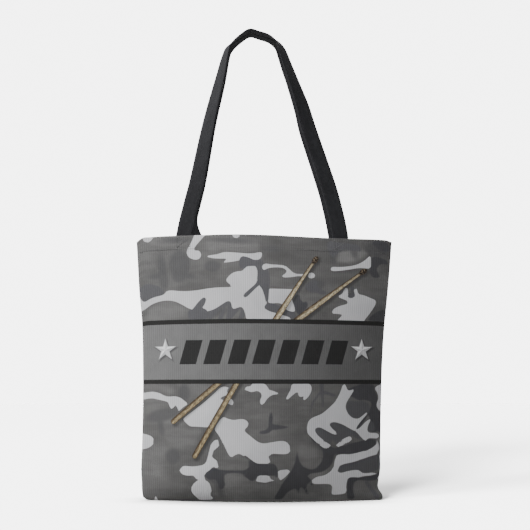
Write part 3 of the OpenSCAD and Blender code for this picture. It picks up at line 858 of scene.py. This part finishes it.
def handle_rows(insets):
    """All rows of the webbing, from one sewn end to the other."""
    rows = [loop_row(ROUTE_LEN * k / LOOP_ROWS, insets) for k in range(LOOP_ROWS + 1)]
    low = BAG_H - END_DROP - END_H
    left, right = [], []
    for k in range(END_ROWS):
        z = low + (LOOP_Z - END_GAP - low) * k / END_ROWS
        for ends, (m, w, n, d), sign in ((left, rows[0], -1), (right, rows[-1], 1)):
            ends.append((np.array([m[0], m[1], z]), w, n, d + sign * (LOOP_Z - z)))
    return left + rows + right[::-1]


def build_handle(name, side, insets):
    half, t = WEBBING_W / 2, WEBBING_T / 2
    flat = [(-half + 0.5, t), (-half * 0.6, t), (0, t), (half * 0.6, t), (half - 0.5, t)]
    right_edge = [(half - 0.1, t * 0.6), (half, 0), (half - 0.1, -t * 0.6)]
    ring = flat + right_edge + [(-a, -b) for a, b in flat + right_edge]
    verts, weave = [], []
    rows = handle_rows(insets)
    for m, w, n, d in rows:
        for a, b in ring:
            p = m + a * w + b * n
            verts.append((p[0], p[1] * -side, p[2]))
            weave.append((a, d, b))
    obj = new_object(name, verts, tube_faces(len(rows), len(ring)), WEBBING, flip=side > 0)
    add_attribute(obj, "weave_mm", "FLOAT_VECTOR", weave)
    return obj, rows[-1][3] - rows[0][3]


# ---- Stitching: single stitches that dip into the cloth at both ends ----
STITCH_RINGS, STITCH_SIDES = 6, 6


def surface(x, z, side, off):
    """Point on the outside of a panel, off above the cloth."""
    s = np.clip(x / half_w(z), -1, 1)
    y = full_depth(z) * fill_share(z) * (1 - s**2) + SEAM_HALF
    xx = x + (right_swell(z) if s > 0 else -left_swell(z)) * abs(s) ** 3
    zz = float(drooped(z, s)) + float(mouth_lift(s)) * (z / BAG_H) ** 4
    return np.array([xx, side * (float(y) + off), zz])


def stitch_ring(start, end, t, f, side, radius):
    """Points round the thread at share t of the line and share f of its own stitch."""
    def at(share):
        lift = radius * (0.75 * math.sin(math.pi * min(max(f, 0.06), 0.94)) ** 0.5 - 0.30)
        x, z = (a + (b - a) * share for a, b in zip(start, end))
        return surface(x, z, side, lift)
    m = at(t)
    along = unit(at(t + 0.01) - m)
    up = unit(np.array([0, side, 0]) - along * along[1] * side)
    across = np.cross(along, up)
    r = radius * (0.55 + 0.45 * math.sin(math.pi * f) ** 0.5)
    turns = [2 * math.pi * i / STITCH_SIDES for i in range(STITCH_SIDES)]
    return [(m + r * (math.cos(q) * across + math.sin(q) * up), q) for q in turns]


def stitches(name, lines, side, pitch):
    verts, faces, strand = [], [], []
    for start, end in lines:
        length = math.dist(start, end)
        count = max(1, round(length / pitch))
        for k in range(count):
            a, b = (k + 0.06) / count, (k + 0.94) / count
            faces += tube_faces(STITCH_RINGS, STITCH_SIDES, len(verts))
            for j in range(STITCH_RINGS):
                f = j / (STITCH_RINGS - 1)
                t = a + (b - a) * f
                for point, q in stitch_ring(start, end, t, f, side, THREAD_R):
                    verts.append(point)
                    strand.append((t * length, q, 0))
    obj = new_object(name, verts, faces, THREAD, flip=side > 0)
    add_attribute(obj, "strand_mm", "FLOAT_VECTOR", strand)
    return obj


def box_lines(x):
    """The four sides and two diagonals of a box stitched at x."""
    half = WEBBING_W / 2 - BOX_MARGIN
    low, high = BAG_H - END_DROP - END_H + 2 * BOX_MARGIN, BAG_H - END_DROP - BOX_MARGIN
    c = [(x - half, low), (x + half, low), (x + half, high), (x - half, high)]
    return [(c[0], c[1]), (c[1], c[2]), (c[2], c[3]), (c[3], c[0]), (c[0], c[2]), (c[1], c[3])]


# ---- Seam allowances inside the bag, bound with overlock thread ----
# one turn of the thread: place along its pitch, share of the depth in from the free edge, and y
YARN_TURN = ((0.0, -0.05, -0.9), (0.12, -0.05, 0.9), (0.3, 0.25, 1.15), (0.5, 0.55, 1.0),
             (0.56, 0.56, -1.0), (0.75, 0.25, -1.15))
YARN_SIDES = 5


def outward(obj):
    """Turns every face of closed pieces outwards."""
    bm = bmesh.new()
    bm.from_mesh(obj.data)
    bmesh.ops.recalc_face_normals(bm, faces=bm.faces)
    bm.to_mesh(obj.data)
    bm.free()


def allowance(node, outer, inner):
    """The two layers of cloth between matching (x, z) points along the seam and the free edge."""
    t = ALLOWANCE_T
    verts = [(p[0], y, p[1]) for o, i in zip(outer, inner) for p, y in ((o, -t), (o, t), (i, t), (i, -t))]
    cloth = new_object(f"{node}_allowance", verts, tube_faces(len(outer), 4), CLOTH, smooth=False)
    flat = np.array([(v[0], v[2], 0) for v in verts])
    add_attribute(cloth, "print_mm", "FLOAT_VECTOR", flat)
    add_attribute(cloth, "cloth_mm", "FLOAT_VECTOR", flat)
    add_attribute(cloth, "reverse", "FLOAT", np.ones(len(verts)))
    return cloth


def overlock(node, outer, inner):
    """Thread wound over the free edge, in and out of one needle line."""
    run = np.concatenate([[0], np.cumsum(np.linalg.norm(np.diff(inner, axis=0), axis=1))])

    def point(edge, at):
        return np.array([np.interp(at, run, edge[:, 0]), np.interp(at, run, edge[:, 1])])
    path = []
    for k in range(int(run[-1] / YARN_PITCH) - 1):
        for step, share, y in YARN_TURN:
            at = (k + 0.5 + step) * YARN_PITCH
            p = point(inner, at) + (point(outer, at) - point(inner, at)) * share
            path.append((p[0], y, p[1]))
    path = np.array(path)
    tangent = np.gradient(path, axis=0)
    tangent /= np.linalg.norm(tangent, axis=1, keepdims=True)
    side = np.cross(tangent, np.array([inner[-1][0] - inner[0][0], 0, inner[-1][1] - inner[0][1]]))
    side /= np.linalg.norm(side, axis=1, keepdims=True)
    up = np.cross(side, tangent)
    verts, strand = [], []
    for j, p in enumerate(path):
        for i in range(YARN_SIDES):
            q = 2 * math.pi * i / YARN_SIDES
            verts.append(p + YARN_R * (math.cos(q) * side[j] + math.sin(q) * up[j]))
            strand.append((j * 1.1, q, 0))
    yarn = new_object(f"{node}_overlock", verts, tube_faces(len(path), YARN_SIDES), OVERLOCK)
    add_attribute(yarn, "strand_mm", "FLOAT_VECTOR", strand)
    return yarn


def bound_edge(node, outer, inner):
    for piece, slot in ((allowance(node, outer, inner), "printed_cloth"),
                        (overlock(node, outer, inner), "overlock_thread")):
        outward(piece)
        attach(piece, "bag")
        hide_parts(node)


# ---- Putting it together ----
for side, word in ((-1, "front"), (1, "back")):
    panel, panel_length = build_panel(f"{word}_panel_cloth", side, CLOTH)
    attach(panel, "bag")
    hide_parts(f"{word}_panel")
    insets = (0, 0) if side < 0 else BACK_INSETS
    strap, length = build_handle(f"{word}_handle_webbing", side, insets)
    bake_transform(strap)
    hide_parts(f"{word}_handle", f"{word}_handle_left_end", f"{word}_handle_right_end")
    reach = MOUTH_W / 2 - 5
    z = BAG_H - HEM_H + STITCH_INSET
    hem = stitches(f"{word}_hem_stitches", [((-reach, z), (reach, z))], side, HEM_PITCH)
    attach(hem, "bag")
    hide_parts(f"{word}_hem_stitching")
    for end, x in (("left", -LEFT_END_X + insets[0]), ("right", RIGHT_END_X - insets[1])):
        box = stitches(f"{word}_handle_{end}_stitches", box_lines(x), side, BOX_PITCH)
        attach(box, "bag")
        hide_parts(f"{word}_handle_{end}_stitching")

seam_z = np.linspace(14, 410, 100)
for word, sign, swell in (("left", -1, left_swell), ("right", 1, right_swell)):
    outer = half_w(seam_z) + swell(seam_z) - 3.4
    bound_edge(f"{word}_side_seam", np.stack([sign * outer, drooped(seam_z, 1.0)], 1),
               np.stack([sign * (outer - ALLOWANCE_W), drooped(seam_z, 1.0)], 1))
seam_x = np.linspace(-BELLY_W / 2 + 2 * ALLOWANCE_W, BELLY_W / 2 - 2 * ALLOWANCE_W, 80)
bound_edge("bottom_seam", np.stack([seam_x, 0 * seam_x + 4.6], 1), np.stack([seam_x, 0 * seam_x + 10.1], 1))

# ---- Floor and backdrop ----
FLOOR_TONE, FLOOR_R, FLOOR_Z, FLOOR_CORNERS = 0.15, 9000.0, -0.3, 48
# reach and steepness of the painted contact shadow on the floor
PAINTED_SHADOW_REACH, PAINTED_SHADOW_GAMMA = 0.07, 1.6
PALE = 5.7


def floor_paper():
    """Matt paper with a painted contact shadow: its colour is darker close under the bag."""
    mat = bpy.data.materials.new("floor_paper")
    g = Graph(mat)
    # painted shadow: ambient occlusion darkens the floor's colour close under the bag
    painted_contact_shadow = g.node("AmbientOcclusion", {"Distance": PAINTED_SHADOW_REACH}, "AO", samples=12)
    deepened_painted_shadow = g.node("Gamma", {"Color": painted_contact_shadow, "Gamma": PAINTED_SHADOW_GAMMA})
    g.finish(g.node("BsdfDiffuse", {"Color": g.scale(deepened_painted_shadow, FLOOR_TONE)}))
    return mat


def backdrop_paper():
    """Paper that shines evenly."""
    mat = bpy.data.materials.new("backdrop_paper")
    g = Graph(mat)
    g.finish(g.node("Emission", {"Color": (PALE, PALE, PALE, 1)}))
    return mat


turns = [2 * math.pi * k / FLOOR_CORNERS for k in range(FLOOR_CORNERS)]
rim = [(FLOOR_R * math.cos(a), FLOOR_R * math.sin(a), FLOOR_Z) for a in turns]
wedges = [(0, k + 1, (k + 1) % FLOOR_CORNERS + 1) for k in range(FLOOR_CORNERS)]
floor = new_object("floor", [(0, 0, FLOOR_Z)] + rim, wedges, floor_paper(), smooth=False)
bpy.ops.mesh.primitive_uv_sphere_add(segments=32, ring_count=16, radius=8.9)
dome = bpy.context.object
dome.name = "backdrop"
dome.data.materials.append(backdrop_paper())
for piece in (floor, dome):
    piece.visible_diffuse = False
    piece.visible_glossy = False
    piece.visible_shadow = False

# ---- Lights and camera; azimuth 0 is in front of the bag and 90 to its right ----
world = bpy.data.worlds.new("studio")
bpy.context.scene.world = world
sky = Graph(world)
facing = sky.node("VectorMath", {0: sky.node("TexCoord", {}, "Generated"), 1: (-0.16, 0.12, 0.09)}, "Value",
                  operation="DOT_PRODUCT")
tone = sky.node("Math", {0: facing, 1: 0.42}, operation="ADD", use_clamp=True)
sky.finish(sky.node("Background", {"Color": tone}), "World")


def hang(name, lamp, azimuth, elevation, distance=0.0):
    """Places a lamp so that it shines on the middle of the bag."""
    a, e = math.radians(azimuth), math.radians(elevation)
    away = Vector((math.sin(a) * math.cos(e), -math.cos(a) * math.cos(e), math.sin(e)))
    obj = bpy.data.objects.new(name, lamp)
    obj.location = Vector((0, 0, 0.22)) + away * distance
    obj.rotation_mode = "QUATERNION"
    obj.rotation_quaternion = away.to_track_quat("Z", "Y")
    bpy.context.scene.collection.objects.link(obj)
    return obj


for name, azimuth, elevation, size, power in (("key_light", -60, 34, 1.6, 110),
                                              ("fill_light", 50, 20, 1.6, 17),
                                              ("back_light", 180, 32, 1.2, 60)):
    panel_lamp = bpy.data.lights.new(name, "AREA")
    panel_lamp.shape = "SQUARE"
    panel_lamp.size = size
    panel_lamp.energy = power
    hang(name, panel_lamp, azimuth, elevation, 2.8)

# the floor has its own soft suns from the left, which cast the bag's shadow
only_floor = bpy.data.collections.new("only_floor")
only_floor.objects.link(floor)
for name, azimuth, elevation, spread, power in (("floor_light_near", -45, 16, 28, 149),
                                                ("floor_light_far", -20, 7, 16, 444),
                                                ("floor_light_top", -30, 88, 30, 19)):
    sun = bpy.data.lights.new(name, "SUN")
    sun.angle = math.radians(spread)
    sun.energy = power
    hang(name, sun, azimuth, elevation).light_linking.receiver_collection = only_floor

camera = bpy.data.cameras.new("camera")
camera.lens = 88.4
camera.sensor_width = 36
cam = bpy.data.objects.new("camera", camera)
cam.location = (0, -2.05, 0.184)
cam.rotation_mode = "QUATERNION"
cam.rotation_quaternion = (Vector((0.0016, 0, 0.367)) - cam.location).to_track_quat("-Z", "Y")
bpy.context.scene.collection.objects.link(cam)
bpy.context.scene.camera = cam
